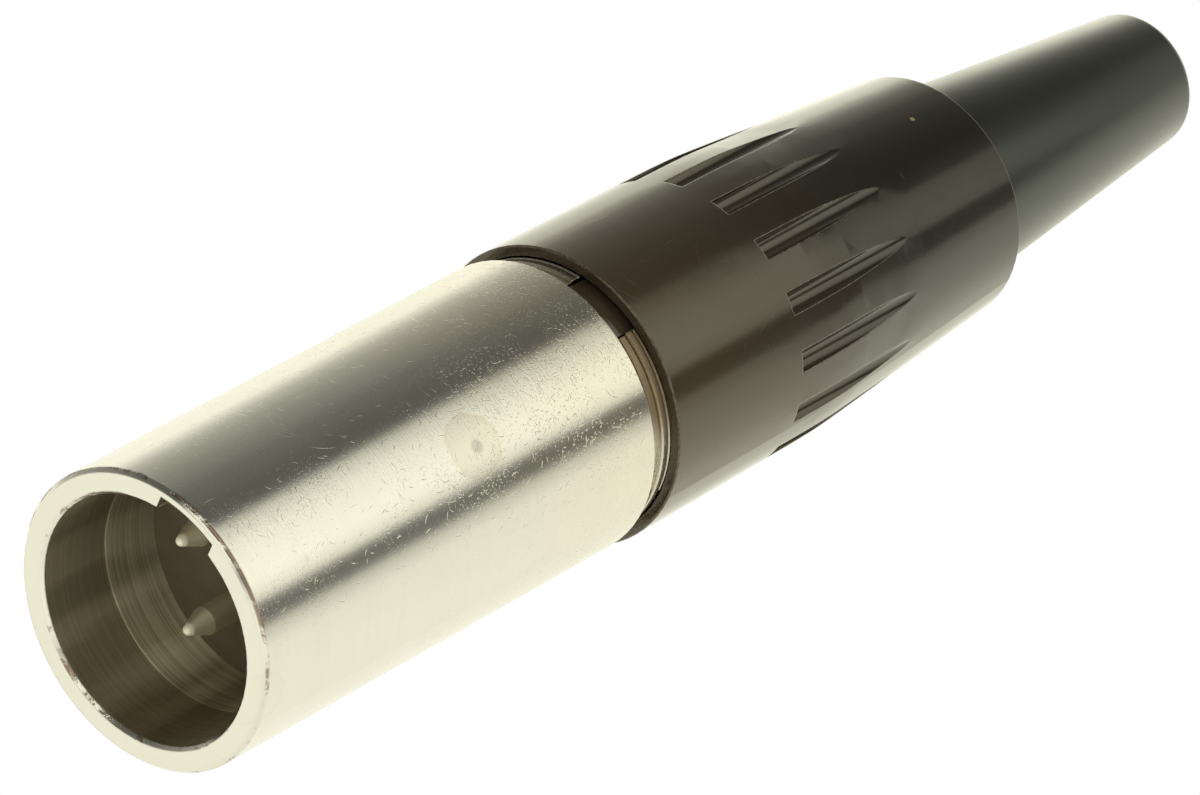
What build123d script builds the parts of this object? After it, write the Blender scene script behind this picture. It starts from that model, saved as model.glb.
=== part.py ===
from build123d import *
import os
from math import atan2, cos, pi, radians, sin

# Miniature three-pin cable plug, standing on its mouth.
# Origin: centre of the mouth's rim. +Z: towards the cable. The keyway faces -Y. Millimetres.

# Barrel, turned from one bar
barrel_radius = 5.25
barrel_length = 19.55
barrel_wall = 0.91
rim_outer_chamfer = 0.14
rim_inner_chamfer = 0.12
barrel_rear_chamfer = 0.12
mouth_depth = 3.0
socket_step = 0.03
socket_lead = 0.03
key_angle = -90.0
key_width = 2.38
key_wall_left = 0.34

# Neck with the thread. The thread is a plain cylinder at half its height.
neck_shoulder = 0.3
neck_length = 5.4
neck_wall = 0.31
relief_width = 0.32
thread_height = 0.22
neck_slot_width = 2.58
neck_slot_turn = 3.2
neck_end_chamfer = 0.25

# Moulding that carries the contacts
insert_face_depth = 5.35
insert_nose_length = 1.2
insert_flange_length = 3.6
insert_clearance = 0.02
insert_turn = -6.4

# Contacts
pin_radius = 0.49
pin_proud = 2.76
pin_cone_length = 0.95
pin_nub_radius = 0.19
pin_circle_radius = 1.72
pin_half_spread = 45.0
foot_clearance = 0.05
lock_radius = 0.32
shank_radius = 0.78
cup_bore_radius = 0.52
cup_length = 3.1
cup_bore_depth = 2.4
cup_lip = 0.5
contact_clearance = 0.01

# Clamp that grips the cable's jacket
clamp_clearance = 0.05
clamp_wall = 0.85
clamp_jaw_clearance = 0.15
clamp_grip_radius = 2.05
clamp_jaw_wall = 1.0
clamp_slit_width = 0.8
clamp_slit_count = 4
clamp_slit_web = 1.3
grip_length = 4.5
grip_tooth_setback = 0.36
grip_tooth_pitch = 0.9
grip_tooth_height = 0.3
grip_tooth_count = 2
clamp_key_clearance = 0.08
clamp_key_inset = 0.06

# Collar
collar_gap = 1.05
collar_lip_wall = 0.37
collar_taper = 0.09
collar_straight_length = 9.3
collar_cone_drop = 0.8
collar_rear_wall = 0.74
collar_length = 19.8
collar_front_chamfer = 0.04
collar_rear_chamfer = 0.08
waist_blend_radius = 30.0
mouth_clearance = 0.04
thread_clearance = 0.05
thread_end_clearance = 0.25
cavity_wall = 0.62
squeeze_start = 12.8
squeeze_length = 2.3
squeeze_radius = 2.7
flute_count = 16
flute_start = 6.65
flute_radius = 0.42
flute_depth = 0.335
flute_turn = 15.9

# Boot
boot_clearance = 0.05
boot_visible_length = 12.85
boot_bore_radius = 1.9
boot_tip_wall = 0.58
boot_tip_chamfer = 0.2
boot_ring_height = 0.36
boot_ring_width = 1.1
boot_ring_setback = 2.3
boot_plug_length = 3.9

# Places along the axis
neck_end = barrel_length + neck_length
insert_seat = insert_face_depth + insert_nose_length
insert_rear = insert_seat + insert_flange_length
collar_front = barrel_length + collar_gap
collar_waist = collar_front + collar_straight_length
collar_rear = collar_front + collar_length
pin_tip = insert_face_depth - pin_proud
cup_end = insert_rear + cup_length
thread_front = collar_front + collar_gap + mouth_clearance
thread_rear = neck_end + collar_gap + thread_end_clearance
squeeze_front = collar_front + squeeze_start
squeeze_end = squeeze_front + squeeze_length
boot_end = collar_rear + boot_visible_length
boot_front = collar_rear - boot_plug_length
ring_rear = collar_rear - boot_ring_setback
ring_front = ring_rear - boot_ring_width

# Radii that follow from the sizes above
mouth_radius = barrel_radius - barrel_wall
socket_radius = mouth_radius - socket_step
key_floor_radius = barrel_radius - key_wall_left
neck_radius = barrel_radius - neck_shoulder
relief_radius = neck_radius - thread_height
thread_radius = neck_radius - thread_height / 2
rear_bore_radius = relief_radius - neck_wall
collar_mouth_radius = neck_radius + mouth_clearance
collar_thread_radius = thread_radius + thread_clearance
collar_front_radius = collar_mouth_radius + collar_lip_wall
collar_waist_radius = collar_front_radius - collar_taper
collar_rear_radius = collar_waist_radius - collar_cone_drop
flute_floor_radius = collar_front_radius - flute_depth - collar_taper * flute_start / collar_straight_length
cavity_radius = flute_floor_radius - cavity_wall
clamp_radius = rear_bore_radius - clamp_clearance
clamp_inner_radius = clamp_radius - clamp_wall
clamp_tip_radius = clamp_grip_radius + clamp_jaw_wall
seat_radius = collar_rear_radius - collar_rear_wall
boot_root_radius = seat_radius - boot_clearance
boot_tip_radius = boot_bore_radius + boot_tip_wall
ring_radius = boot_root_radius + boot_ring_height
groove_radius = ring_radius + boot_clearance
squeeze_slope = (cavity_radius - squeeze_radius) / squeeze_length
jaw_touch = squeeze_front + (cavity_radius - clamp_tip_radius - clamp_jaw_clearance) / squeeze_slope
jaw_end = jaw_touch - collar_gap


def polar(radius, angle):
    return (radius * cos(radians(angle)), radius * sin(radians(angle)))


def finish_piece(builder, name):
    builder.part.label = name
    export_step(builder.part, f"parts/{name}.step")


os.makedirs("parts", exist_ok=True)
slot_angle = key_angle + neck_slot_turn
key_plane = Plane.XY.rotated((0, 0, key_angle))
slot_plane = Plane.XY.rotated((0, 0, slot_angle))

# Barrel: one revolved section, then the keyway and the slot in the neck, a little turned from it
with BuildPart() as barrel:
    with BuildSketch(Plane.XZ):
        with BuildLine():
            Polyline(
                (mouth_radius + rim_inner_chamfer, 0),
                (barrel_radius - rim_outer_chamfer, 0),
                (barrel_radius, rim_outer_chamfer),
                (barrel_radius, barrel_length - barrel_rear_chamfer),
                (barrel_radius - barrel_rear_chamfer, barrel_length),
                (relief_radius, barrel_length),
                (relief_radius, barrel_length + relief_width),
                (thread_radius, barrel_length + relief_width),
                (thread_radius, neck_end - neck_end_chamfer),
                (thread_radius - neck_end_chamfer, neck_end),
                (rear_bore_radius, neck_end),
                (rear_bore_radius, insert_seat),
                (socket_radius, insert_seat),
                (socket_radius, mouth_depth + socket_lead),
                (mouth_radius, mouth_depth),
                (mouth_radius, rim_inner_chamfer),
                close=True,
            )
        make_face()
    revolve(axis=Axis.Z)
    with BuildSketch(key_plane):
        Circle(key_floor_radius)
        with Locations((barrel_radius, 0)):
            Rectangle(2 * barrel_radius, key_width, mode=Mode.INTERSECT)
    extrude(amount=barrel_length, mode=Mode.SUBTRACT)
    with BuildSketch(slot_plane.offset(barrel_length)):
        with Locations((barrel_radius, 0)):
            Rectangle(2 * barrel_radius, neck_slot_width)
    extrude(amount=neck_length, mode=Mode.SUBTRACT)
finish_piece(barrel, "barrel")

# Places of the contacts, seen from the cable end
pin_angles = [
    key_angle + insert_turn - pin_half_spread,
    key_angle + insert_turn + pin_half_spread,
    key_angle + insert_turn + 180.0,
]
pin_places = [polar(pin_circle_radius, angle) for angle in pin_angles]

# Moulded carrier: a nose in the socket, a flange behind the barrel's shoulder
with BuildPart() as pin_insert:
    with BuildSketch(Plane.XY.offset(insert_face_depth)):
        Circle(socket_radius - insert_clearance)
    extrude(amount=insert_nose_length)
    with BuildSketch(Plane.XY.offset(insert_seat)):
        Circle(rear_bore_radius - insert_clearance)
    extrude(amount=insert_flange_length)
    with Locations(*[Location((x, y, insert_face_depth)) for x, y in pin_places]):
        Cylinder(
            lock_radius + contact_clearance,
            insert_nose_length,
            align=(Align.CENTER, Align.CENTER, Align.MIN),
            mode=Mode.SUBTRACT,
        )
    with Locations(*[Location((x, y, insert_seat)) for x, y in pin_places]):
        Cylinder(
            shank_radius + contact_clearance,
            insert_flange_length,
            align=(Align.CENTER, Align.CENTER, Align.MIN),
            mode=Mode.SUBTRACT,
        )
    # Tongue in the keyway
    with BuildSketch(key_plane.offset(insert_face_depth)):
        Circle(key_floor_radius - insert_clearance)
        Circle(pin_circle_radius + shank_radius, mode=Mode.SUBTRACT)
        with Locations((barrel_radius, 0)):
            Rectangle(2 * barrel_radius, key_width - 2 * insert_clearance, mode=Mode.INTERSECT)
    extrude(amount=insert_rear - insert_face_depth)
finish_piece(pin_insert, "pin_insert")


def make_contact(name, place, angle):
    # Rounded nub, cone, pin, neck that the moulding locks on, and a shank with its solder cup open outwards
    cone_angle = atan2(pin_radius - pin_nub_radius, pin_cone_length - pin_nub_radius)
    nub_centre = pin_tip + pin_nub_radius
    touch = (pin_nub_radius * cos(cone_angle), nub_centre - pin_nub_radius * sin(cone_angle))
    middle = (
        pin_nub_radius * cos((cone_angle + pi / 2) / 2),
        nub_centre - pin_nub_radius * sin((cone_angle + pi / 2) / 2),
    )
    section_plane = Plane(origin=(*place, 0), x_dir=(1, 0, 0), z_dir=(0, -1, 0))
    cup_plane = Plane(origin=(*place, cup_end)).rotated((0, 0, angle))
    with BuildPart() as contact:
        with BuildSketch(section_plane):
            with BuildLine():
                ThreePointArc((0, pin_tip), middle, touch)
                Polyline(
                    touch,
                    (pin_radius, pin_tip + pin_cone_length),
                    (pin_radius, insert_face_depth - foot_clearance),
                    (lock_radius, insert_face_depth - foot_clearance),
                    (lock_radius, insert_seat),
                    (shank_radius, insert_seat),
                    (shank_radius, cup_end),
                    (cup_bore_radius, cup_end),
                    (cup_bore_radius, cup_end - cup_bore_depth),
                    (0, cup_end - cup_bore_depth),
                    (0, pin_tip),
                )
            make_face()
        revolve(axis=Axis(origin=(*place, 0), direction=(0, 0, 1)))
        with BuildSketch(cup_plane):
            with Locations((shank_radius, 0)):
                Rectangle(2 * shank_radius, 2 * shank_radius)
        extrude(amount=-(cup_bore_depth - cup_lip), mode=Mode.SUBTRACT)
    finish_piece(contact, name)


for number, (place, angle) in enumerate(zip(pin_places, pin_angles), start=1):
    make_contact(f"contact_pin_{number}", place, angle)

# Clamp: a sleeve in the neck, then four jaws that the collar's cone closes on a cable
with BuildPart() as cable_clamp:
    with BuildSketch(Plane.XZ):
        with BuildLine():
            Polyline(
                (clamp_inner_radius, insert_rear),
                (clamp_radius, insert_rear),
                (clamp_radius, neck_end),
                (clamp_tip_radius, jaw_end),
                (clamp_grip_radius, jaw_end),
                (clamp_grip_radius, jaw_end - grip_length),
                (clamp_inner_radius, neck_end),
                close=True,
            )
        make_face()
    revolve(axis=Axis.Z)
    # Ring teeth inside the jaws
    for tooth in range(grip_tooth_count):
        tooth_top = jaw_end - grip_tooth_setback - tooth * grip_tooth_pitch
        with BuildSketch(Plane.XZ):
            with BuildLine():
                Polyline(
                    (clamp_grip_radius, tooth_top),
                    (clamp_grip_radius - grip_tooth_height, tooth_top),
                    (clamp_grip_radius, tooth_top - grip_tooth_height),
                    close=True,
                )
            make_face()
        revolve(axis=Axis.Z)
    for slit in range(clamp_slit_count):
        slit_angle = slot_angle + 180 / clamp_slit_count + slit * 360 / clamp_slit_count
        with BuildSketch(Plane.XY.offset(jaw_end).rotated((0, 0, slit_angle))):
            with Locations((clamp_radius / 2, 0)):
                Rectangle(clamp_radius, clamp_slit_width)
        extrude(amount=-(jaw_end - neck_end - clamp_slit_web), mode=Mode.SUBTRACT)
    # Key in the neck's slot
    with BuildSketch(slot_plane.offset(barrel_length + clamp_key_clearance)):
        Circle(thread_radius - clamp_key_inset)
        Circle(clamp_inner_radius, mode=Mode.SUBTRACT)
        with Locations((barrel_radius, 0)):
            Rectangle(
                2 * barrel_radius,
                neck_slot_width - 2 * clamp_key_clearance,
                mode=Mode.INTERSECT,
            )
    extrude(amount=neck_length - clamp_key_clearance)
finish_piece(cable_clamp, "cable_clamp")

# Collar: a moulded sleeve with a cone behind it, and flutes that run out on the cone
with BuildPart() as collar:
    with BuildSketch(Plane.XZ) as collar_section:
        with BuildLine():
            Polyline(
                (collar_mouth_radius, collar_front),
                (collar_front_radius, collar_front),
                (collar_waist_radius, collar_waist),
                (collar_rear_radius, collar_rear),
                (seat_radius, collar_rear),
                (seat_radius, ring_rear + boot_clearance),
                (groove_radius, ring_rear + boot_clearance),
                (groove_radius, ring_front - boot_clearance),
                (seat_radius, ring_front - boot_clearance),
                (seat_radius, boot_front - boot_clearance),
                (squeeze_radius, boot_front - boot_clearance),
                (squeeze_radius, squeeze_end),
                (cavity_radius, squeeze_front),
                (cavity_radius, thread_rear + mouth_clearance),
                (collar_thread_radius, thread_rear),
                (collar_thread_radius, thread_front),
                (collar_mouth_radius, thread_front),
                close=True,
            )
        make_face()
        front_corner = collar_section.vertices().group_by(Axis.Y)[0].sort_by(Axis.X)[-1]
        rear_corner = collar_section.vertices().group_by(Axis.Y)[-1].sort_by(Axis.X)[-1]
        waist_corner = collar_section.vertices().sort_by(Axis.X)[-2]
        chamfer(front_corner, collar_front_chamfer)
        chamfer(rear_corner, collar_rear_chamfer)
        fillet(waist_corner, waist_blend_radius)
    revolve(axis=Axis.Z)
    with BuildSketch(Plane.XY.offset(collar_front + flute_start)):
        with PolarLocations(
            flute_floor_radius + flute_radius,
            flute_count,
            start_angle=key_angle + flute_turn,
        ):
            Circle(flute_radius)
    extrude(amount=collar_length, mode=Mode.SUBTRACT)
finish_piece(collar, "collar")

# Boot: a tapered sleeve, with a plug and a ring that snaps into the collar's groove
with BuildPart() as boot:
    with BuildSketch(Plane.XZ) as boot_section:
        with BuildLine():
            Polyline(
                (boot_bore_radius, boot_front),
                (boot_root_radius, boot_front),
                (boot_root_radius, ring_front),
                (ring_radius, ring_front),
                (ring_radius, ring_rear),
                (boot_root_radius, ring_rear),
                (boot_root_radius, collar_rear),
                (boot_tip_radius, boot_end),
                (boot_bore_radius, boot_end),
                close=True,
            )
        make_face()
        tip_corner = boot_section.vertices().group_by(Axis.Y)[-1].sort_by(Axis.X)[-1]
        chamfer(tip_corner, boot_tip_chamfer)
    revolve(axis=Axis.Z)
finish_piece(boot, "boot")
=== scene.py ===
import bpy
from math import cos, pi, radians, sin, tau
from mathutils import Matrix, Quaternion, Vector


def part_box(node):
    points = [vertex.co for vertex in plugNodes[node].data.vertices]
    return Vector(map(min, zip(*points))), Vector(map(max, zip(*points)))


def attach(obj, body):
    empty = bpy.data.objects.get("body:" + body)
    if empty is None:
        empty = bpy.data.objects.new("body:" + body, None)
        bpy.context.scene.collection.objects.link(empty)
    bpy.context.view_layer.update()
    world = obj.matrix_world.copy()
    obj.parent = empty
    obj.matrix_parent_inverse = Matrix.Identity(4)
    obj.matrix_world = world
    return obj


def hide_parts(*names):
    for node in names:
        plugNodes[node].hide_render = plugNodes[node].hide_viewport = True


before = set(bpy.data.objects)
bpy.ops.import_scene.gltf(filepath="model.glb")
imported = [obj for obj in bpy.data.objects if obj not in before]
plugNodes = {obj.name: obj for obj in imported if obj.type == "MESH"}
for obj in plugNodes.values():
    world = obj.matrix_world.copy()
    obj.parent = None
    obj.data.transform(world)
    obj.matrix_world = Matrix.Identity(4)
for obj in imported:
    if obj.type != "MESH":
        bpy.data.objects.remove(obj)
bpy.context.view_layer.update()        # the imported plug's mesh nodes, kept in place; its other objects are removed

# A miniature cable plug that stands on its mouth. Metres, the cable end is +Z.
mm = 0.001
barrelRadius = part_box("barrel")[1].x
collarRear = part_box("collar")[1].z
bootLow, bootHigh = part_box("boot")


# Small helpers for shader trees
def connect(tree, node, values):
    # gives each named input a link from a socket, or a fixed value
    for name, value in values.items():
        if isinstance(value, bpy.types.NodeSocket):
            tree.links.new(value, node.inputs[name])
        else:
            node.inputs[name].default_value = value
    return node


def put(tree, kind, inputs=None, **settings):
    made = tree.nodes.new(kind)
    for name, value in settings.items():
        setattr(made, name, value)
    return connect(tree, made, inputs or {})


def calc(tree, operation, first, second=0.0, third=0.0, clamp=False):
    inputs = {0: first, 1: second, 2: third}
    return put(tree, "ShaderNodeMath", inputs, operation=operation, use_clamp=clamp).outputs[0]


def chain(tree, operation, values):
    result = values[0]
    for value in values[1:]:
        result = calc(tree, operation, result, value)
    return result


def times(tree, *values):
    return chain(tree, "MULTIPLY", values)


def plus(tree, *values):
    return chain(tree, "ADD", values)


def highest(tree, *values):
    return chain(tree, "MAXIMUM", values)


def minus(tree, first, second, clamp=False):
    return calc(tree, "SUBTRACT", first, second, clamp=clamp)


def fade(tree, value, low, high, start=0.0, end=1.0):
    # goes smoothly from start to end while value goes from low to high
    inputs = {"Value": value, "From Min": low, "From Max": high, "To Min": start, "To Max": end}
    made = put(tree, "ShaderNodeMapRange", inputs, interpolation_type="SMOOTHSTEP")
    return made.outputs["Result"]


def fadeOut(tree, value, low, high):
    return fade(tree, value, low, high, 1.0, 0.0)


def split(tree, vector):
    return put(tree, "ShaderNodeSeparateXYZ", {"Vector": vector}).outputs


def join(tree, x, y, z=0.0):
    return put(tree, "ShaderNodeCombineXYZ", {"X": x, "Y": y, "Z": z}).outputs[0]


def lengthOf(tree, vector):
    return put(tree, "ShaderNodeVectorMath", {0: vector}, operation="LENGTH").outputs["Value"]


def offsetFrom(tree, vector, origin):
    return put(tree, "ShaderNodeVectorMath", {0: vector, 1: origin}, operation="SUBTRACT").outputs[0]


def turnFlat(tree, vector, angle):
    inputs = {"Vector": vector, "Angle": angle}
    return put(tree, "ShaderNodeVectorRotate", inputs, rotation_type="Z_AXIS").outputs[0]


def noise(tree, vector, scale, detail, roughness=0.5):
    inputs = {"Vector": vector, "Scale": scale, "Detail": detail, "Roughness": roughness}
    return put(tree, "ShaderNodeTexNoise", inputs).outputs["Fac"]


def blendColours(tree, factor, first, second, mode="MIX"):
    inputs = {0: factor, 6: first, 7: second}
    return put(tree, "ShaderNodeMix", inputs, data_type="RGBA", blend_type=mode).outputs[2]


def startGroup(name, inputs, outputs):
    # an input without a first value is a vector, one with it is a number
    tree = bpy.data.node_groups.new(name, "ShaderNodeTree")
    for socketName, value in inputs.items():
        kind = "NodeSocketVector" if value is None else "NodeSocketFloat"
        socket = tree.interface.new_socket(name=socketName, in_out="INPUT", socket_type=kind)
        if value is not None:
            socket.default_value = value
    for socketName, kind in outputs.items():
        tree.interface.new_socket(name=socketName, in_out="OUTPUT", socket_type=f"NodeSocket{kind}")
    return tree, put(tree, "NodeGroupInput").outputs, put(tree, "NodeGroupOutput")


def useGroup(tree, group, inputs):
    return put(tree, "ShaderNodeGroup", inputs, node_tree=group).outputs


# Where a point lies round and along the plug's axis. The seam is turned to the far side.
def makeAxisPlace():
    tree, given, result = startGroup(
        "axisPlace", {"Vector": None, "Seam Turn": 0.0},
        {"Angle": "Float", "Radius": "Float", "Height": "Float", "Unrolled": "Vector"},
    )
    parts = split(tree, given["Vector"])
    flat = join(tree, parts["X"], parts["Y"])
    radius = lengthOf(tree, flat)
    turned = split(tree, turnFlat(tree, flat, given["Seam Turn"]))
    angle = calc(tree, "ARCTAN2", turned["Y"], turned["X"])
    connect(tree, result, {
        "Angle": angle, "Radius": radius, "Height": parts["Z"],
        "Unrolled": join(tree, times(tree, angle, radius), parts["Z"]),
    })
    return tree


# Fine lines left by turning and brushing, which run round the axis
turning = {
    "fineDetail": 3.0,
    "fineRoughness": 0.6,
    "coarseScale": 0.13,
    "coarseDetail": 2.0,
}


def makeTurnedLines():
    tree, given, result = startGroup(
        "turnedLines", {"Vector": None, "Pitch": 0.00005, "Run": 0.004},
        {"Lines": "Float", "Coarse": "Float"},
    )
    parts = split(tree, given["Vector"])
    x, y, z = (
        calc(tree, "DIVIDE", parts[axis], given[size])
        for axis, size in (("X", "Run"), ("Y", "Run"), ("Z", "Pitch"))
    )
    stretched = join(tree, x, y, z)
    connect(tree, result, {
        "Lines": noise(tree, stretched, 1.0, turning["fineDetail"], turning["fineRoughness"]),
        "Coarse": noise(tree, stretched, turning["coarseScale"], turning["coarseDetail"]),
    })
    return tree


# Short bowed scratches, one to a cell, each turned its own way
scratchForm = {"bow": 0.35, "taper": 0.4}


def makeScratches():
    tree, given, result = startGroup(
        "scratches",
        {"Unrolled": None, "Cell": 0.001, "Share": 0.3, "Width": 0.00001, "Length": 0.0006},
        {"Mask": "Float"},
    )
    perCell = calc(tree, "DIVIDE", 1.0, given["Cell"])
    scaled = put(
        tree, "ShaderNodeVectorMath", {0: given["Unrolled"], "Scale": perCell}, operation="SCALE",
    ).outputs[0]
    cells = put(
        tree, "ShaderNodeTexVoronoi", {"Vector": scaled, "Scale": 1.0, "Randomness": 1.0},
        voronoi_dimensions="2D",
    ).outputs
    chance = put(tree, "ShaderNodeSeparateColor", {"Color": cells["Color"]}).outputs
    turn = times(tree, minus(tree, chance["Red"], 0.5), pi)
    own = split(tree, turnFlat(tree, offsetFrom(tree, scaled, cells["Position"]), turn))
    fromMiddle = calc(tree, "ABSOLUTE", own["X"])
    bow = times(tree, calc(tree, "POWER", fromMiddle, 2.0), scratchForm["bow"])
    across = times(tree, calc(tree, "ABSOLUTE", minus(tree, own["Y"], bow)), given["Cell"])
    along = times(tree, fromMiddle, given["Cell"])
    reach = times(tree, given["Length"], chance["Green"], 0.5)
    taper = minus(tree, 1.0, calc(tree, "DIVIDE", along, reach), clamp=True)
    line = minus(tree, 1.0, calc(tree, "DIVIDE", across, given["Width"]), clamp=True)
    there = calc(tree, "LESS_THAN", chance["Blue"], given["Share"])
    mask = times(tree, line, calc(tree, "POWER", taper, scratchForm["taper"]), there)
    connect(tree, result, {"Mask": mask})
    return tree


# Uneven tone, as a soft cloud
def makeClouds():
    tree, given, result = startGroup(
        "clouds", {"Vector": None, "Size": 0.004, "Contrast": 1.0}, {"Tone": "Float"},
    )
    wide = noise(tree, given["Vector"], calc(tree, "DIVIDE", 1.0, given["Size"]), 4.0)
    swing = times(tree, minus(tree, wide, 0.5), given["Contrast"])
    connect(tree, result, {"Tone": calc(tree, "ADD", swing, 0.5, clamp=True)})
    return tree


# The mark of a dried drop: a pale disc with a darker rim and a grey spot. The ranges are
# shares of the mark's reach.
dropForm = {
    "wobbleScale": 1100.0,
    "wobble": 0.5,
    "discEdge": (0.93, 1.02),
    "rimInside": (0.80, 0.97),
    "rimOutside": (0.97, 1.04),
    "spotEdge": (0.6, 1.2),
}


def makeDropMark():
    tree, given, result = startGroup(
        "dropMark",
        {"Unrolled": None, "Vector": None, "Centre": None, "Reach": 0.001, "Spot Centre": None,
         "Spot Reach": 0.0002},
        {"Disc": "Float", "Rim": "Float", "Spot": "Float"},
    )
    uneven = noise(tree, given["Vector"], dropForm["wobbleScale"], 2.0)
    push = times(tree, minus(tree, uneven, 0.5), dropForm["wobble"])

    def shareOfReach(centre, reach):
        apart = lengthOf(tree, offsetFrom(tree, given["Unrolled"], given[centre]))
        return plus(tree, calc(tree, "DIVIDE", apart, given[reach]), push)

    out = shareOfReach("Centre", "Reach")
    connect(tree, result, {
        "Disc": fadeOut(tree, out, *dropForm["discEdge"]),
        "Rim": times(tree, fade(tree, out, *dropForm["rimInside"]), fadeOut(tree, out, *dropForm["rimOutside"])),
        "Spot": fadeOut(tree, shareOfReach("Spot Centre", "Spot Reach"), *dropForm["spotEdge"]),
    })
    return tree


axisPlace = makeAxisPlace()
turnedLines = makeTurnedLines()
scratches = makeScratches()
clouds = makeClouds()
dropMark = makeDropMark()

# The camera's side of the plug, as an angle round +Z
facing = -63.6
seamTurn = radians(-facing)


def unrolledAt(radius, angle, height):
    # a place on an unrolled cylinder: degrees from the camera's side, and height in mm
    return (radians(angle) * radius, height * mm, 0.0)


def startMaterial(name):
    material = bpy.data.materials.new(name)
    material.use_nodes = True
    tree = material.node_tree
    tree.nodes.clear()
    surface = put(tree, "ShaderNodeBsdfPrincipled")
    put(tree, "ShaderNodeOutputMaterial", {"Surface": surface.outputs[0]})
    place = put(tree, "ShaderNodeTexCoord").outputs["Object"]
    return material, tree, surface, place


def onAxis(tree, place):
    return useGroup(tree, axisPlace, {"Vector": place, "Seam Turn": seamTurn})


def drawLines(tree, place, lines):
    return useGroup(tree, turnedLines, {"Vector": place, **lines})


def drawScratches(tree, unrolled, lines):
    return useGroup(tree, scratches, {"Unrolled": unrolled, **lines})["Mask"]


def drawClouds(tree, place, cloud):
    return useGroup(tree, clouds, {"Vector": place, **cloud})["Tone"]


# The barrel's plating. A pair of heights, radii or angles is the range over which a zone fades
# in or out. A range of four values also says from what to what it fades.
nickel = {
    "colour": (0.775, 0.76, 0.73, 1.0),
    "shade": (0.70, 0.685, 0.65, 1.0),
    "boreTint": (0.78, 0.71, 0.56, 1.0),
    "socketTint": (1.0, 0.93, 0.76, 1.0),
    # painted shade laid on one side of the bore, a plain grey
    "boreSideShade": (0.60, 0.60, 0.60, 1.0),
    # painted shade of the lathe lines' grooves and of the bore's streaks
    "lineShade": (0.55, 0.52, 0.48, 1.0),
    # painted reflection of the collar's brown front on the neck
    "neckPaintedReflection": (0.50, 0.42, 0.32, 1.0),
    "rearTint": (1.0, 0.97, 0.92, 1.0),
    "rearTintRise": (8 * mm, 19 * mm),
    "brass": (0.27, 0.175, 0.115, 1.0),
    "brassCover": 0.85,
    "stain": (0.66, 0.59, 0.49, 1.0),
    "spot": (0.42, 0.40, 0.37, 1.0),
    "spotCover": 0.6,
    # zones
    "boreStart": (0.12 * mm, 0.2 * mm),
    "boreWall": (4.36 * mm, 4.46 * mm),
    "socketStart": (3.0 * mm, 3.05 * mm),
    # angles, from the camera's side, of the bore's side that gets painted shade
    "shadedSideStart": (-3.12, -2.75),
    "shadedSideEnd": (-1.5, -1.1),
    # the neck, where the collar's brown front is painted in as a reflection, fully on the camera's side
    "neckStart": (19.5 * mm, 19.6 * mm),
    "neckWall": (5.0 * mm, 5.06 * mm),
    "neckSides": (0.40, 0.80, 1.0, 0.22),
    "rearward": (1 * mm, 15 * mm, 0.55, 1.0),
    # fine lines, grain and scratches
    "brushing": {"Pitch": 0.00005, "Run": 0.0025},
    "lathe": {"Pitch": 0.00009, "Run": 0.012},
    "cloud": {"Size": 0.003, "Contrast": 1.6},
    "clumps": (0.38, 0.62, 0.2, 1.0),
    "grainScale": 7000.0,
    "grainShade": 0.12,
    "hairs": {"Cell": 0.0012, "Share": 0.30, "Width": 0.000013, "Length": 0.0012},
    "hairLevel": 0.6,
    "nicks": {"Cell": 0.00032, "Share": 0.42, "Width": 0.000016, "Length": 0.00042},
    "dents": {"Cell": 0.00011, "Share": 0.5, "Width": 0.00002, "Length": 0.00014},
    "dentRise": (2 * mm, 16 * mm, 0.3, 1.0),
    # how much the lathe lines darken the colour, as painted shade in their grooves, and the bore's painted streaks
    # of reflection
    "ridgeEdge": (0.38, 0.62),
    "boreRidges": 0.25,
    "socketRidges": 0.2,
    "neckRidges": 0.3,
    "streakStretch": (1.0, 1.0, 0.12),
    "streakScale": 620.0,
    "streakEdge": (0.40, 0.62),
    "streakLevel": 0.55,
    # the rim's worn edges
    "outerRim": (5.14 * mm, 5.20 * mm),
    "outerRimStart": (0.04 * mm, 0.10 * mm),
    "outerRimEnd": (0.14 * mm, 0.24 * mm),
    "innerRim": (4.44 * mm, 4.5 * mm),
    "innerRimEnd": (0.1 * mm, 0.2 * mm),
    "nearSide": (0.5, 0.9),
    "nearSideWear": 0.1,
    "wearScale": 900.0,
    "wearEdge": (0.50, 0.62),
    # marks of dried drops
    "drop": {"at": (1.1, 11.46), "reach": 0.00118, "spotAt": (2.4, 11.57), "disc": 0.22, "rim": 0.28},
    "oldDrop": {"at": (50.0, -0.1), "reach": 0.00105, "spotAt": (50.0, -0.1), "disc": 0.10, "rim": 0.14},
    "spotReach": 0.00026,
    # relief and gloss
    "lineDepth": 0.000004,
    "bumpStrength": 0.5,
    "boreLines": 5.0,
    "socketLines": 9.0,
    "markDepth": -2.2,
    "wearDepth": -9.0,
    "grainHeight": 1.6,
    "edgeRadius": 0.00007,
    "roughness": 0.14,
    "boreRoughness": 0.42,
    "socketRoughness": 0.55,
    "neckRoughness": 0.48,
    "brushedRoughness": 0.06,
    "scratchRoughness": 0.25,
    "dropRoughness": 0.05,
    "wearRoughness": 0.15,
    "anisotropy": 0.3,
    "boreAnisotropy": 0.85,
    "grainTurn": 0.25,
}


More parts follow.
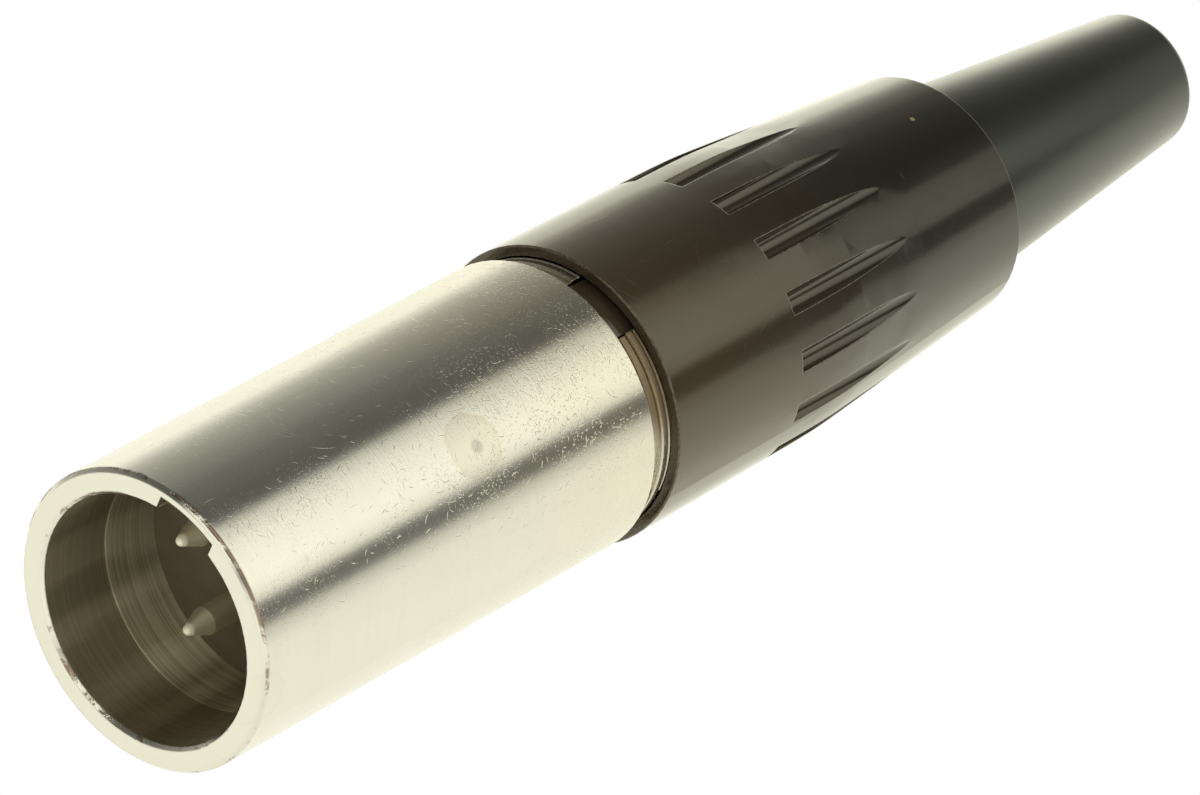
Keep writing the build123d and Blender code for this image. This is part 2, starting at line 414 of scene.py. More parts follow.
def findBarrelZones(tree, where):
    inBore = times(tree, fade(tree, where["Height"], *nickel["boreStart"]),
                   fadeOut(tree, where["Radius"], *nickel["boreWall"]))
    inSocket = times(tree, inBore, fade(tree, where["Height"], *nickel["socketStart"]))
    # the side of the bore that is painted darker
    shadedBoreSide = times(tree, inBore, fade(tree, where["Angle"], *nickel["shadedSideStart"]),
                     fadeOut(tree, where["Angle"], *nickel["shadedSideEnd"]))
    fromFront = calc(tree, "ABSOLUTE", where["Angle"])
    # the neck, most on the camera's side, which takes the painted reflection of the collar
    onNeck = times(tree, fade(tree, where["Height"], *nickel["neckStart"]),
                   fadeOut(tree, where["Radius"], *nickel["neckWall"]),
                   fade(tree, fromFront, *nickel["neckSides"]))
    return inBore, inSocket, shadedBoreSide, onNeck


def scratchBarrel(tree, where, clumps, rearward, inBore):
    # a few long hairs, and many short nicks and dents that thicken towards the thread
    hairs, nicks, dents = (
        drawScratches(tree, where["Unrolled"], nickel[lines]) for lines in ("hairs", "nicks", "dents")
    )
    marks = highest(
        tree, times(tree, hairs, nickel["hairLevel"]), times(tree, nicks, rearward),
        times(tree, dents, clumps, fade(tree, where["Height"], *nickel["dentRise"])),
    )
    return times(tree, marks, minus(tree, 1.0, inBore))


def wearRim(tree, where, patches):
    # plating worn through to brass along the rim's two edges
    outerEdge = times(tree, fade(tree, where["Radius"], *nickel["outerRim"]),
                      fade(tree, where["Height"], *nickel["outerRimStart"]),
                      fadeOut(tree, where["Height"], *nickel["outerRimEnd"]))
    innerEdge = times(tree, fadeOut(tree, where["Radius"], *nickel["innerRim"]),
                      fadeOut(tree, where["Height"], *nickel["innerRimEnd"]))
    nearSide = fadeOut(tree, calc(tree, "ABSOLUTE", where["Angle"]), *nickel["nearSide"])
    held = plus(tree, patches, times(tree, nearSide, nickel["nearSideWear"]))
    return times(tree, highest(tree, outerEdge, innerEdge), fade(tree, held, *nickel["wearEdge"]))


def addDrop(tree, where, place, drop):
    return useGroup(tree, dropMark, {
        "Unrolled": where["Unrolled"], "Vector": place,
        "Centre": unrolledAt(barrelRadius, *drop["at"]), "Reach": drop["reach"],
        "Spot Centre": unrolledAt(barrelRadius, *drop["spotAt"]), "Spot Reach": nickel["spotReach"],
    })


def makeNickel():
    material, tree, surface, place = startMaterial("plated_nickel")
    where = onAxis(tree, place)
    brushed = drawLines(tree, place, nickel["brushing"])
    lathe = drawLines(tree, place, nickel["lathe"])
    cloudy = drawClouds(tree, place, nickel["cloud"])
    grain = noise(tree, place, nickel["grainScale"], 4.0, 0.7)
    patches = noise(tree, place, nickel["wearScale"], 5.0, 0.7)
    streak = put(tree, "ShaderNodeMapping", {"Vector": place, "Scale": nickel["streakStretch"]}).outputs[0]
    streaks = noise(tree, streak, nickel["streakScale"], 2.0)
    clumps = fade(tree, cloudy, *nickel["clumps"])
    rearward = fade(tree, where["Height"], *nickel["rearward"])
    inBore, inSocket, shadedBoreSide, onNeck = findBarrelZones(tree, where)
    marks = scratchBarrel(tree, where, clumps, rearward, inBore)
    rubbed = wearRim(tree, where, patches)

    drops = [(nickel[name], addDrop(tree, where, place, nickel[name])) for name in ("drop", "oldDrop")]
    stained = plus(tree, *(
        times(tree, mark[socket], drop[level])
        for drop, mark in drops for socket, level in (("Disc", "disc"), ("Rim", "rim"))
    ))
    freshDrop = drops[0][1]

    def tint(factor, colour, name, mode="MIX"):
        return blendColours(tree, factor, colour, nickel[name], mode)

    colour = tint(times(tree, brushed["Coarse"], cloudy), nickel["shade"], "colour")
    colour = tint(times(tree, grain, nickel["grainShade"]), colour, "shade")
    colour = tint(stained, colour, "stain")
    colour = tint(times(tree, freshDrop["Spot"], nickel["spotCover"]), colour, "spot")
    colour = tint(times(tree, rubbed, nickel["brassCover"]), colour, "brass")
    boreColour = tint(inSocket, nickel["boreTint"], "socketTint")
    colour = blendColours(tree, inBore, colour, boreColour, "MULTIPLY")
    # painted shade: one side of the bore, turned from the camera's side, darkened grey
    colour = tint(shadedBoreSide, colour, "boreSideShade", "MULTIPLY")
    # painted reflection and shade: the neck is browned on the camera's side, as the collar's front would show in
    # it
    colour = tint(onNeck, colour, "neckPaintedReflection", "MULTIPLY")
    colour = tint(fade(tree, where["Height"], *nickel["rearTintRise"]), colour, "rearTint", "MULTIPLY")
    # painted shade: the lathe lines' grooves and darker streaks along the bore are darkened in the colour, the
    # streaks standing in for the bore's streaky reflections
    ridgeShadeLevel = plus(tree, times(tree, inBore, nickel["boreRidges"]), times(tree, inSocket, nickel["socketRidges"]),
                  times(tree, onNeck, nickel["neckRidges"]))
    ridgeShade = times(tree, fade(tree, lathe["Lines"], *nickel["ridgeEdge"]), ridgeShadeLevel)
    streakShade = times(tree, inBore, fade(tree, streaks, *nickel["streakEdge"]), nickel["streakLevel"])
    colour = tint(plus(tree, ridgeShade, streakShade), colour, "lineShade", "MULTIPLY")

    latheDepth = plus(tree, times(tree, inBore, nickel["boreLines"]), times(tree, inSocket, nickel["socketLines"]))
    relief = plus(
        tree, brushed["Lines"], times(tree, lathe["Lines"], latheDepth), times(tree, marks, nickel["markDepth"]),
        times(tree, rubbed, patches, nickel["wearDepth"]),
        times(tree, grain, clumps, rearward, nickel["grainHeight"]),
    )
    rounded = put(tree, "ShaderNodeBevel", {"Radius": nickel["edgeRadius"]}, samples=4)
    bump = put(tree, "ShaderNodeBump", {
        "Height": relief, "Strength": nickel["bumpStrength"], "Distance": nickel["lineDepth"],
        "Normal": rounded.outputs[0],
    })
    rough = plus(
        tree, nickel["roughness"], times(tree, brushed["Lines"], nickel["brushedRoughness"]),
        times(tree, marks, nickel["scratchRoughness"]), times(tree, freshDrop["Disc"], nickel["dropRoughness"]),
        times(tree, inBore, nickel["boreRoughness"] - nickel["roughness"]),
        times(tree, rubbed, nickel["wearRoughness"]),
        times(tree, inSocket, nickel["socketRoughness"] - nickel["boreRoughness"]),
        times(tree, onNeck, nickel["neckRoughness"] - nickel["roughness"]),
    )
    tangent = put(tree, "ShaderNodeTangent", direction_type="RADIAL", axis="Z")
    connect(tree, surface, {
        "Base Color": colour, "Metallic": 1.0, "Roughness": rough, "Normal": bump.outputs[0],
        "Anisotropic": fade(tree, inBore, 0.0, 1.0, nickel["anisotropy"], nickel["boreAnisotropy"]),
        "Anisotropic Rotation": nickel["grainTurn"], "Tangent": tangent.outputs[0],
    })
    return material


# The contacts' plating. The tips' cones are satin, and their paler, less metallic colour paints light onto them
plating = {
    "colour": (0.88, 0.82, 0.69, 1.0),
    "shade": (0.76, 0.70, 0.57, 1.0),
    # painted light: a paler colour for the tip cones
    "paleLitTip": (1.0, 0.95, 0.82, 1.0),
    "tipEnd": (2.75 * mm, 2.9 * mm),
    "tipRoughness": 0.36,
    "tipMetallic": 0.12,
    "roughness": 0.55,
    "lathe": {"Pitch": 0.00004, "Run": 0.01},
    "cloud": {"Size": 0.0006, "Contrast": 1.5},
    "bumpStrength": 0.5,
    "lineDepth": 0.00001,
}


def makePlating():
    material, tree, surface, place = startMaterial("contact_plating")
    lathe = drawLines(tree, place, plating["lathe"])
    cloudy = drawClouds(tree, place, plating["cloud"])
    height = split(tree, place)["Z"]
    colour = blendColours(tree, cloudy, plating["shade"], plating["colour"])
    # painted light: the tip cones take the paler colour
    colour = blendColours(tree, fade(tree, height, *plating["tipEnd"]), plating["paleLitTip"], colour)
    bump = put(tree, "ShaderNodeBump", {
        "Height": lathe["Lines"], "Strength": plating["bumpStrength"], "Distance": plating["lineDepth"],
    })
    connect(tree, surface, {
        "Base Color": colour,
        "Metallic": fade(tree, height, *plating["tipEnd"], plating["tipMetallic"], 1.0),
        "Roughness": fade(tree, height, *plating["tipEnd"], plating["tipRoughness"], plating["roughness"]),
        "Normal": bump.outputs[0],
    })
    return material


# The brown moulding of the collar and the clamp
brown = {
    "front": (0.055, 0.036, 0.022, 1.0),
    "rear": (0.0110, 0.0097, 0.0075, 1.0),
    "rearRise": (21 * mm, 35 * mm),
    "cloud": {"Size": 0.0025, "Contrast": 1.4},
    "cloudLevel": 0.25,
    "scuff": (0.11, 0.09, 0.07, 1.0),
    "scuffCover": 0.5,
    "scuffDepth": -1.2,
    "scuffRoughness": 0.25,
    "hairs": {"Cell": 0.0014, "Share": 0.6, "Width": 0.000018, "Length": 0.0024},
    "hairFade": (22 * mm, 30 * mm, 1.0, 0.25),
    "nicks": {"Cell": 0.0006, "Share": 0.10, "Width": 0.000018, "Length": 0.0004},
    "nickLevel": 0.7,
    "grainScale": 9000.0,
    "grainHeight": 0.35,
    "waveScale": 500.0,
    "waveHeight": 3.0,
    "bumpStrength": 0.3,
    "bumpDepth": 0.000006,
    # pale edges, part rubbed wear and part painted highlight
    "edge": (0.34, 0.28, 0.21, 1.0),
    "edgeRadius": 0.00006,
    "edgeBend": (0.91, 0.99),
    "edgeGrain": (0.40, 0.60, 0.15, 0.9),
    "specular": (1.0, 0.93, 0.74, 1.0),
    "roughness": 0.125,
    "coatWeight": 0.5,
    "coatRoughness": 0.075,
    "coatUneven": 0.05,
    "ior": 1.51,
    "fleck": (-31.0, 37.95),
    "fleckRadius": 4.78 * mm,
    "fleckColour": (0.42, 0.33, 0.17, 1.0),
    "fleckCover": 0.8,
    "fleckReach": 0.00012,
}


def makeBrown(name, withMarks):
    material, tree, surface, place = startMaterial(name)
    where = onAxis(tree, place)
    cloudy = drawClouds(tree, place, brown["cloud"])
    grain = noise(tree, place, brown["grainScale"], 3.0)
    waves = noise(tree, place, brown["waveScale"], 2.0)
    colour = blendColours(tree, fade(tree, where["Height"], *brown["rearRise"]), brown["front"], brown["rear"])
    colour = blendColours(tree, times(tree, cloudy, brown["cloudLevel"]), colour, brown["rear"])
    relief = plus(tree, times(tree, grain, brown["grainHeight"]), times(tree, waves, brown["waveHeight"]))
    coatRough = plus(tree, brown["coatRoughness"], times(tree, cloudy, brown["coatUneven"]))
    if withMarks:
        hairs = drawScratches(tree, where["Unrolled"], brown["hairs"])
        nicks = drawScratches(tree, where["Unrolled"], brown["nicks"])
        marks = highest(tree, times(tree, hairs, fade(tree, where["Height"], *brown["hairFade"])),
                        times(tree, nicks, brown["nickLevel"]))
        colour = blendColours(tree, times(tree, marks, brown["scuffCover"]), colour, brown["scuff"])
        relief = plus(tree, relief, times(tree, marks, brown["scuffDepth"]))
        coatRough = plus(tree, coatRough, times(tree, marks, brown["scuffRoughness"]))
        # one pale fleck on the rear cone
        fleckPlace = unrolledAt(brown["fleckRadius"], *brown["fleck"])
        apart = lengthOf(tree, offsetFrom(tree, where["Unrolled"], fleckPlace))
        fleck = fadeOut(tree, apart, brown["fleckReach"] * 0.5, brown["fleckReach"])
        colour = blendColours(tree, times(tree, fleck, brown["fleckCover"]), colour, brown["fleckColour"])
    # edges painted pale where the rounded normal bends away from the flat one: partly rubbed wear, partly a
    # painted highlight along the edges
    rounded = put(tree, "ShaderNodeBevel", {"Radius": brown["edgeRadius"]}, samples=6)
    flat = put(tree, "ShaderNodeNewGeometry").outputs["Normal"]
    bend = put(tree, "ShaderNodeVectorMath", {0: rounded.outputs[0], 1: flat}, operation="DOT_PRODUCT")
    rubbedAndLitEdges = times(tree, fadeOut(tree, bend.outputs["Value"], *brown["edgeBend"]),
                 fade(tree, grain, *brown["edgeGrain"]))
    colour = blendColours(tree, rubbedAndLitEdges, colour, brown["edge"])
    bump = put(tree, "ShaderNodeBump", {
        "Height": relief, "Strength": brown["bumpStrength"], "Distance": brown["bumpDepth"],
        "Normal": rounded.outputs[0],
    })
    connect(tree, surface, {
        "Base Color": colour, "Roughness": brown["roughness"], "Normal": bump.outputs[0],
        "IOR": brown["ior"], "Specular Tint": brown["specular"], "Coat Weight": brown["coatWeight"],
        "Coat Roughness": coatRough, "Coat IOR": brown["ior"], "Coat Normal": bump.outputs[0],
    })
    return material


rubber = {
    "colour": (0.0085, 0.010, 0.008, 1.0),
    "pale": (0.014, 0.017, 0.0135, 1.0),
    "cloud": {"Size": 0.002, "Contrast": 1.4},
    "grainScale": 14000.0,
    "bumpStrength": 0.4,
    "bumpDepth": 0.00001,
    "specular": (0.93, 0.98, 0.86, 1.0),
    "roughness": 0.28,
    "coatWeight": 0.6,
    "coatRoughness": 0.20,
    "ior": 1.46,
}


def makeRubber():
    material, tree, surface, place = startMaterial("boot_rubber")
    colour = blendColours(tree, drawClouds(tree, place, rubber["cloud"]), rubber["colour"], rubber["pale"])
    bump = put(tree, "ShaderNodeBump", {
        "Height": noise(tree, place, rubber["grainScale"], 4.0, 0.6),
        "Strength": rubber["bumpStrength"], "Distance": rubber["bumpDepth"],
    })
    connect(tree, surface, {
        "Base Color": colour, "Roughness": rubber["roughness"], "Normal": bump.outputs[0],
        "IOR": rubber["ior"], "Specular Tint": rubber["specular"], "Coat Weight": rubber["coatWeight"],
        "Coat Roughness": rubber["coatRoughness"], "Coat IOR": rubber["ior"], "Coat Normal": bump.outputs[0],
    })
    return material


# The moulding that carries the contacts
insert = {
    "colour": (0.11, 0.086, 0.058, 1.0),
    "pale": (0.16, 0.128, 0.09, 1.0),
    "cloud": {"Size": 0.001, "Contrast": 1.5},
    "grainScale": 9000.0,
    "bumpStrength": 0.3,
    "bumpDepth": 0.00001,
    "roughness": 0.5,
}


def makeInsertPlastic():
    material, tree, surface, place = startMaterial("insert_plastic")
    colour = blendColours(tree, drawClouds(tree, place, insert["cloud"]), insert["colour"], insert["pale"])
    bump = put(tree, "ShaderNodeBump", {
        "Height": noise(tree, place, insert["grainScale"], 3.0),
        "Strength": insert["bumpStrength"], "Distance": insert["bumpDepth"],
    })
    connect(tree, surface, {
        "Base Color": colour, "Roughness": insert["roughness"], "Normal": bump.outputs[0],
    })
    return material


def dress(piece, material):
    piece.data.materials.clear()
    piece.data.materials.append(material)


nickelMaterial = makeNickel()
rubberMaterial = makeRubber()
platingMaterial = makePlating()
for nodeName, nodeMaterial in (
    ("barrel", nickelMaterial),
    ("contact_pin_1", platingMaterial),
    ("contact_pin_2", platingMaterial),
    ("contact_pin_3", platingMaterial),
    ("collar", makeBrown("collar_plastic", True)),
    ("cable_clamp", makeBrown("clamp_plastic", False)),
    ("boot", rubberMaterial),
    ("pin_insert", makeInsertPlastic()),
):
    dress(plugNodes[nodeName], nodeMaterial)
print("materials done")


# Small helpers for modelling
def clearSelection():
    if bpy.context.object and bpy.context.object.mode != "OBJECT":
        bpy.ops.object.mode_set(mode="OBJECT")
    bpy.ops.object.select_all(action="DESELECT")


def workOn(*pieces):
    # selects these pieces only, and makes the first one active
    clearSelection()
    for piece in pieces:
        piece.select_set(True)
    bpy.context.view_layer.objects.active = pieces[0]


def pickFaces(made, wanted):
    # selects the faces that wanted(face) accepts, and goes into edit mode
    bpy.ops.object.mode_set(mode="EDIT")
    bpy.ops.mesh.select_mode(type="FACE")
    bpy.ops.mesh.select_all(action="DESELECT")
    bpy.ops.object.mode_set(mode="OBJECT")
    for face in made.data.polygons:
        face.select = wanted(face)
    bpy.ops.object.mode_set(mode="EDIT")


def pickEdges(made, wanted):
    # selects the edges whose ends wanted(point) both accepts, and goes into edit mode
    bpy.ops.object.mode_set(mode="EDIT")
    bpy.ops.mesh.select_mode(type="EDGE")
    bpy.ops.mesh.select_all(action="DESELECT")
    bpy.ops.object.mode_set(mode="OBJECT")
    for edge in made.data.edges:
        edge.select = all(wanted(made.data.vertices[index].co) for index in edge.vertices)
    bpy.ops.object.mode_set(mode="EDIT")


def turnFacesOut(closeSides=0):
    # recalculates the active mesh's normals, after closing its open ends of up to closeSides sides
    bpy.ops.object.mode_set(mode="EDIT")
    bpy.ops.mesh.select_all(action="SELECT")
    if closeSides:
        bpy.ops.mesh.fill_holes(sides=closeSides)
        bpy.ops.mesh.select_all(action="SELECT")
    bpy.ops.mesh.normals_make_consistent(inside=False)
    bpy.ops.object.mode_set(mode="OBJECT")


def applyModifier(made, kind, **settings):
    modifier = made.modifiers.new(kind.lower(), kind)
    for name, value in settings.items():
        setattr(modifier, name, value)
    bpy.ops.object.modifier_apply(modifier=modifier.name)


def cutAway(made, cutter):
    workOn(made)
    applyModifier(made, "BOOLEAN", operation="DIFFERENCE", object=cutter, solver="EXACT", use_self=True)
    bpy.data.objects.remove(cutter)


def keepPlace(made):
    # puts the place of a primitive into its mesh
    bpy.ops.object.transform_apply(location=True, rotation=True, scale=True)
    return made


# The thread's helix on the neck: worn flat crests with a groove between them. It stands a little
# lower where the collar runs over it.
thread = {
    "pitch": 0.35 * mm,
    "root": 4.80 * mm,
    "grooveDepth": 0.05 * mm,
    "crestWidth": 0.23 * mm,
    "rootWidth": 0.343 * mm,
    "front": 20.05 * mm,
    "lipEnd": 20.75 * mm,
    "trimStart": 20.68 * mm,
    "trimEnd": 21.2 * mm,
    "trimReach": 5.3 * mm,
    "end": 24.60 * mm,
    "openCrest": 4.945 * mm,
    "coveredCrest": 4.875 * mm,
    "slotWidth": 2.58 * mm,
    "slotDepth": 6 * mm,
    "slotLength": 8 * mm,
    "slotRadius": 5 * mm,
    "slotHeight": 22.5 * mm,
    "slotTurn": 3.2,
    "steps": 96,
    "smoothAngle": 25,
}


def makeThreadRun(start, end, crest):
    clearSelection()
    bpy.ops.mesh.primitive_circle_add(vertices=6, radius=1.0, rotation=(pi / 2, 0, 0))
    run = keepPlace(bpy.context.object)
    top, base = thread["crestWidth"] / 2, thread["rootWidth"] / 2
    low = crest - thread["grooveDepth"]
    profile = (
        (crest, top), (crest, -top), (low, -base),
        (thread["root"], -base), (thread["root"], base), (low, base),
    )
    for corner, (radius, rise) in zip(run.data.vertices, profile):
        corner.co = (radius, 0.0, start + rise)
    applyModifier(
        run, "SCREW", axis="Z", screw_offset=thread["pitch"], iterations=round((end - start) / thread["pitch"]),
        steps=thread["steps"], render_steps=thread["steps"], use_merge_vertices=False,
    )
    turnFacesOut(closeSides=len(profile))
    return run


def trimCrest(run):
    # turns the crest down where the collar passes over it when it is screwed home
    depth = thread["trimEnd"] - thread["trimStart"]
    clearSelection()
    bpy.ops.mesh.primitive_cylinder_add(
        vertices=thread["steps"], radius=thread["coveredCrest"], depth=depth, end_fill_type="NOTHING",
        location=(0, 0, thread["trimStart"] + depth / 2),
    )
    tube = keepPlace(bpy.context.object)
    applyModifier(tube, "SOLIDIFY", thickness=thread["trimReach"] - thread["coveredCrest"], offset=1.0)
    cutAway(run, tube)


def makeSlotCutter():
    # a block in line with the keyway's slot, which cuts every turn
    clearSelection()
    turn = radians(thread["slotTurn"])
    across = thread["slotRadius"]
    bpy.ops.mesh.primitive_cube_add(
        size=1.0, location=(across * sin(turn), -across * cos(turn), thread["slotHeight"]), rotation=(0, 0, turn),
    )
    bpy.context.object.scale = (thread["slotWidth"], thread["slotDepth"], thread["slotLength"])
    return keepPlace(bpy.context.object)


def makeThread():
    front = makeThreadRun(thread["front"], thread["lipEnd"], thread["openCrest"])
    trimCrest(front)
    rear = makeThreadRun(thread["lipEnd"], thread["end"], thread["coveredCrest"])
    workOn(front, rear)
    bpy.ops.object.join()
    helix = bpy.context.object
    cutter = makeSlotCutter()
    workOn(helix)
    turnFacesOut()
    cutAway(helix, cutter)
    bpy.ops.object.shade_smooth_by_angle(angle=radians(thread["smoothAngle"]))
    helix.name = "neck_thread"
    dress(helix, nickelMaterial)
    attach(helix, "barrel_body")


makeThread()
print("thread done")

# The boot, with its moulded round tip
sleeve = {
    "rootRadius": 3.68 * mm,
    "tipRadius": 2.48 * mm,
    "boreRadius": 1.90 * mm,
    "seat": collarRear,
    "tipRound": 0.42 * mm,
    "tipSegments": 8,
    "boreRound": 0.14 * mm,
    "boreSegments": 4,
    "ringRadius": (bootHigh.x - bootLow.x) / 2,
    "ringRear": collarRear - 2.3 * mm,
    "ringWidth": 1.1 * mm,
    "around": 160,
    "smoothAngle": 35,
}


def makeSleeve():
    clearSelection()
    length = bootHigh.z - sleeve["seat"]
    bpy.ops.mesh.primitive_cone_add(
        vertices=sleeve["around"], radius1=sleeve["rootRadius"], radius2=sleeve["tipRadius"], depth=length,
        location=(0, 0, sleeve["seat"] + length / 2),
    )
    boot = keepPlace(bpy.context.object)

    def extrudeTo(move, scale=1.0):
        bpy.ops.mesh.extrude_region_move(TRANSFORM_OT_translate={"value": (0, 0, move)})
        if scale != 1.0:
            bpy.ops.transform.resize(value=(scale, scale, 1), center_override=(0, 0, 0))

    # plug inside the collar, with the ring that snaps into its groove
    pickFaces(boot, lambda face: face.normal.z < -0.9)
    ringScale = sleeve["ringRadius"] / sleeve["rootRadius"]
    extrudeTo(sleeve["ringRear"] - sleeve["seat"])
    extrudeTo(0, ringScale)
    extrudeTo(-sleeve["ringWidth"])
    extrudeTo(0, 1 / ringScale)
    extrudeTo(bootLow.z - sleeve["ringRear"] + sleeve["ringWidth"])
    # bore, open at both ends
    bpy.ops.mesh.inset(thickness=sleeve["rootRadius"] - sleeve["boreRadius"])
    bpy.ops.object.mode_set(mode="OBJECT")
    pickFaces(boot, lambda face: face.normal.z > 0.9 and face.center.z > bootHigh.z - 0.1 * mm)
    bpy.ops.mesh.inset(thickness=sleeve["tipRadius"] - sleeve["boreRadius"])
    bpy.ops.object.mode_set(mode="OBJECT")
    pickFaces(boot, lambda face: len(face.vertices) == sleeve["around"])
    bpy.ops.mesh.bridge_edge_loops()
    bpy.ops.object.mode_set(mode="OBJECT")
    # rounded edges at the tip, outside and in the bore
    for radius, reach, segments in (
        (sleeve["tipRadius"], sleeve["tipRound"], sleeve["tipSegments"]),
        (sleeve["boreRadius"], sleeve["boreRound"], sleeve["boreSegments"]),
    ):
        pickEdges(boot, lambda point: (
            point.z > bootHigh.z - 0.01 * mm and abs(point.xy.length - radius) < 0.02 * mm
        ))
        bpy.ops.mesh.bevel(offset=reach, segments=segments, profile=0.5, affect="EDGES")
        bpy.ops.object.mode_set(mode="OBJECT")
    turnFacesOut()
    bpy.ops.object.shade_smooth_by_angle(angle=radians(sleeve["smoothAngle"]))
    boot.name = "boot_sleeve"
    dress(boot, rubberMaterial)
    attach(boot, "boot_body")
    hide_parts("boot")


makeSleeve()
print("sleeve done")

# The camera stands below the mouth and looks up along the plug, rolled
camera = {
    "target": (0.00068, 0.00034, 0.02237),
    "distance": 0.3110,
    "azimuth": 26.40,
    "elevation": -43.43,
    "roll": 61.2,
    "lens": 278.1,
    "sensor": 36.0,
    "clip": (0.01, 20.0),
}


def makeCamera():
    data = bpy.data.cameras.new("studio_camera")
    data.lens = camera["lens"]
    data.sensor_width = camera["sensor"]
    data.clip_start, data.clip_end = camera["clip"]
    made = bpy.data.objects.new("studio_camera", data)
    bpy.context.scene.collection.objects.link(made)
    azimuth, elevation = radians(camera["azimuth"]), radians(camera["elevation"])
    back = Vector((
        sin(azimuth) * cos(elevation),
        -cos(azimuth) * cos(elevation),
        sin(elevation),
    ))
    made.location = Vector(camera["target"]) + back * camera["distance"]
    made.rotation_mode = "QUATERNION"
    roll = Quaternion((0, 0, 1), radians(camera["roll"]))
    made.rotation_quaternion = (-back).to_track_quat("-Z", "Y") @ roll
    bpy.context.scene.camera = made


makeCamera()

# Soft light from all round. The lists give levels at degrees from the plug's side that faces
# the camera, and the ranges are heights in the sky, from -1 below to 1 above.
# A broad grey card stands on one side and a narrow one on the other, and a soft box shines
# between them. It gets dimmer and narrower towards its top.
studio = {
    "round": [
        (-180, 1.10), (-150, 1.16), (-131, 1.24), (-121, 0.86), (-113, 0.56), (-100, 0.40), (-84, 0.29),
        (-66, 0.18), (-46, 0.13), (-30, 0.11), (30, 0.14), (40, 0.19), (48, 0.82), (62, 1.10), (100, 1.13),
        (130, 1.10), (180, 1.10),
    ],
    "box": [
        (-180, 0.0), (-38, 0.0), (-27, 0.9), (-14, 1.20), (12, 1.24), (23, 1.02), (31, 0.05), (36, 0.0),
        (180, 0.0),
    ],
    "boxBase": (-0.05, 0.15),
    "boxTop": (0.69, 0.77),
    "boxTopLevel": 0.68,
    "boxNarrow": (0.702, 0.745),
    "boxNarrowing": 1.65,
    "boxEdge": 29.0,
    "crown": (0.812, 0.835),
    "crownLevel": 0.30,
    "high": [(-180, 0.55), (-135, 0.50), (-105, 0.14), (-90, 0.0), (180, 0.0)],
    "highBase": (0.67, 0.78),
    "highTurn": 4.5,
    "highTurnBase": (0.69, 0.705),
    "highTurnShare": (0.45, 0.55),
    "top": [(-180, 0.0), (19, 0.0), (30, 0.42), (39, 0.42), (50, 0.0), (180, 0.0)],
    "low": [(-180, 0.0), (-64, 0.0), (-54, 1.1), (-10, 1.15), (6, 0.35), (30, 0.1), (180, 0.0)],
    "lowBase": (-0.60, -0.56),
    "lowTurn": 30.0,
    "lowTurnEnd": (-0.05, 0.35),
    "steep": (0.9, 0.99),
    "overhead": 1.0,
    "tint": (1.0, 0.99, 0.82, 1.0),
    "backdrop": (1.0, 1.0, 1.0, 1.0),
}


def roundShare(azimuth):
    return (azimuth + 180) / 360


def levelRound(tree, share, stops):
    ramp = put(tree, "ShaderNodeValToRGB", {"Fac": share})
    ramp.color_ramp.interpolation = "EASE"
    elements = ramp.color_ramp.elements
    brightest = max(level for azimuth, level in stops)
    for index, (azimuth, level) in enumerate(stops):
        position = roundShare(azimuth)
        element = elements[index] if index < 2 else elements.new(position)
        element.position = position
        grey = level / brightest
        element.color = (grey, grey, grey, 1)
    return calc(tree, "MULTIPLY", ramp.outputs["Color"], brightest)


def shapeBox(tree, share, height):
    crown = studio["crown"]
    shape = times(tree, fade(tree, height, *studio["boxTop"], 1.0, studio["boxTopLevel"]),
                  fade(tree, height, *crown, 1.0, studio["crownLevel"]), fade(tree, height, *studio["boxBase"]))
    narrowing = plus(tree, fade(tree, height, *studio["boxNarrow"], 1.0, studio["boxNarrowing"]),
                     fade(tree, height, *crown, 0.0, 1.0 - studio["boxNarrowing"]))
    edge = roundShare(studio["boxEdge"])
    boxShare = plus(tree, times(tree, minus(tree, share, edge), narrowing), edge)
    return times(tree, levelRound(tree, boxShare, studio["box"]), shape)


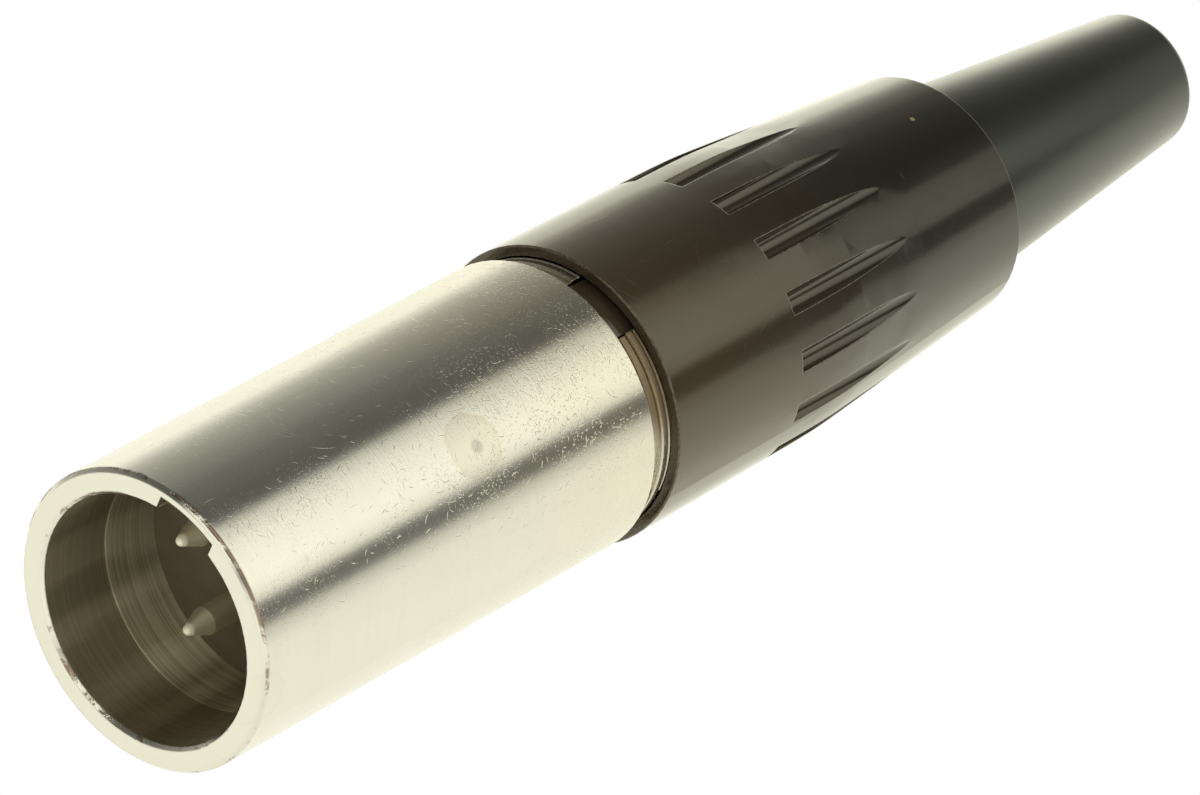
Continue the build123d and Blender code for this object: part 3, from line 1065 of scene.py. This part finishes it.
def makeWorld():
    world = bpy.data.worlds.new("studio_light")
    bpy.context.scene.world = world
    world.use_nodes = True
    tree = world.node_tree
    tree.nodes.clear()
    direction = split(tree, put(tree, "ShaderNodeTexCoord").outputs["Generated"])
    height = direction["Z"]
    angle = calc(tree, "ARCTAN2", direction["Y"], direction["X"])
    turned = calc(tree, "DIVIDE", minus(tree, angle, radians(facing - 180)), tau)
    share = calc(tree, "WRAP", turned, 1.0, 0.0)
    # the cards lean a little at the bottom and at the top
    lowTurn = fade(tree, height, *studio["lowTurnEnd"], studio["lowTurn"] / 360, 0.0)
    highTurn = times(tree, fade(tree, height, *studio["highTurnBase"], 0.0, -studio["highTurn"] / 360),
                     fadeOut(tree, height, *studio["crown"]), fade(tree, share, *studio["highTurnShare"]))
    leaning = calc(tree, "WRAP", plus(tree, share, lowTurn, highTurn), 1.0, 0.0)

    def levelIn(name):
        return levelRound(tree, share, studio[name])

    sideLight = plus(
        tree, levelRound(tree, leaning, studio["round"]), shapeBox(tree, share, height),
        times(tree, levelIn("high"), fade(tree, height, *studio["highBase"])),
        times(tree, levelIn("top"), fade(tree, height, *studio["crown"])),
        times(tree, levelIn("low"), fadeOut(tree, height, *studio["lowBase"])),
    )
    steep = fade(tree, calc(tree, "ABSOLUTE", height), *studio["steep"])
    level = plus(tree, times(tree, sideLight, minus(tree, 1.0, steep)), times(tree, steep, studio["overhead"]))
    lighting = put(tree, "ShaderNodeBackground", {"Color": studio["tint"], "Strength": level})
    backdrop = put(tree, "ShaderNodeBackground", {"Color": studio["backdrop"], "Strength": 1.0})
    seen = put(tree, "ShaderNodeLightPath").outputs["Is Camera Ray"]
    mixed = put(tree, "ShaderNodeMixShader", {0: seen, 1: lighting.outputs[0], 2: backdrop.outputs[0]})
    put(tree, "ShaderNodeOutputWorld", {"Surface": mixed.outputs[0]})


makeWorld()

# A pale floor under the rim, open inside it, that can't be seen from below or in the metal
floor = {
    "depth": 0.00006,
    "hole": 0.00515,
    "around": 96,
    "reach": 3.0,
    "colour": (0.87, 0.88, 0.98, 1.0),
}


def makeFloor():
    clearSelection()
    bpy.ops.mesh.primitive_circle_add(
        vertices=floor["around"], radius=floor["hole"], location=(0, 0, -floor["depth"]),
    )
    made = bpy.context.object
    made.name = "studio_floor"
    bpy.ops.object.mode_set(mode="EDIT")
    bpy.ops.mesh.select_all(action="SELECT")
    bpy.ops.mesh.extrude_region_move()
    bpy.ops.transform.resize(value=(floor["reach"] / floor["hole"],) * 2 + (1,))
    bpy.ops.object.mode_set(mode="OBJECT")
    if made.data.polygons[0].normal.z < 0:
        made.data.flip_normals()
    material = bpy.data.materials.new("studio_floor")
    material.use_nodes = True
    tree = material.node_tree
    tree.nodes.clear()
    pale = put(tree, "ShaderNodeBsdfDiffuse", {"Color": floor["colour"]})
    clear = put(tree, "ShaderNodeBsdfTransparent")
    under = put(tree, "ShaderNodeNewGeometry").outputs["Backfacing"]
    mirrored = put(tree, "ShaderNodeLightPath").outputs["Is Glossy Ray"]
    unseen = highest(tree, under, mirrored)
    mixed = put(tree, "ShaderNodeMixShader", {0: unseen, 1: pale.outputs[0], 2: clear.outputs[0]})
    put(tree, "ShaderNodeOutputMaterial", {"Surface": mixed.outputs[0]})
    made.data.materials.append(material)


makeFloor()
bpy.context.scene.view_settings.view_transform = "Standard"
print("stage done")
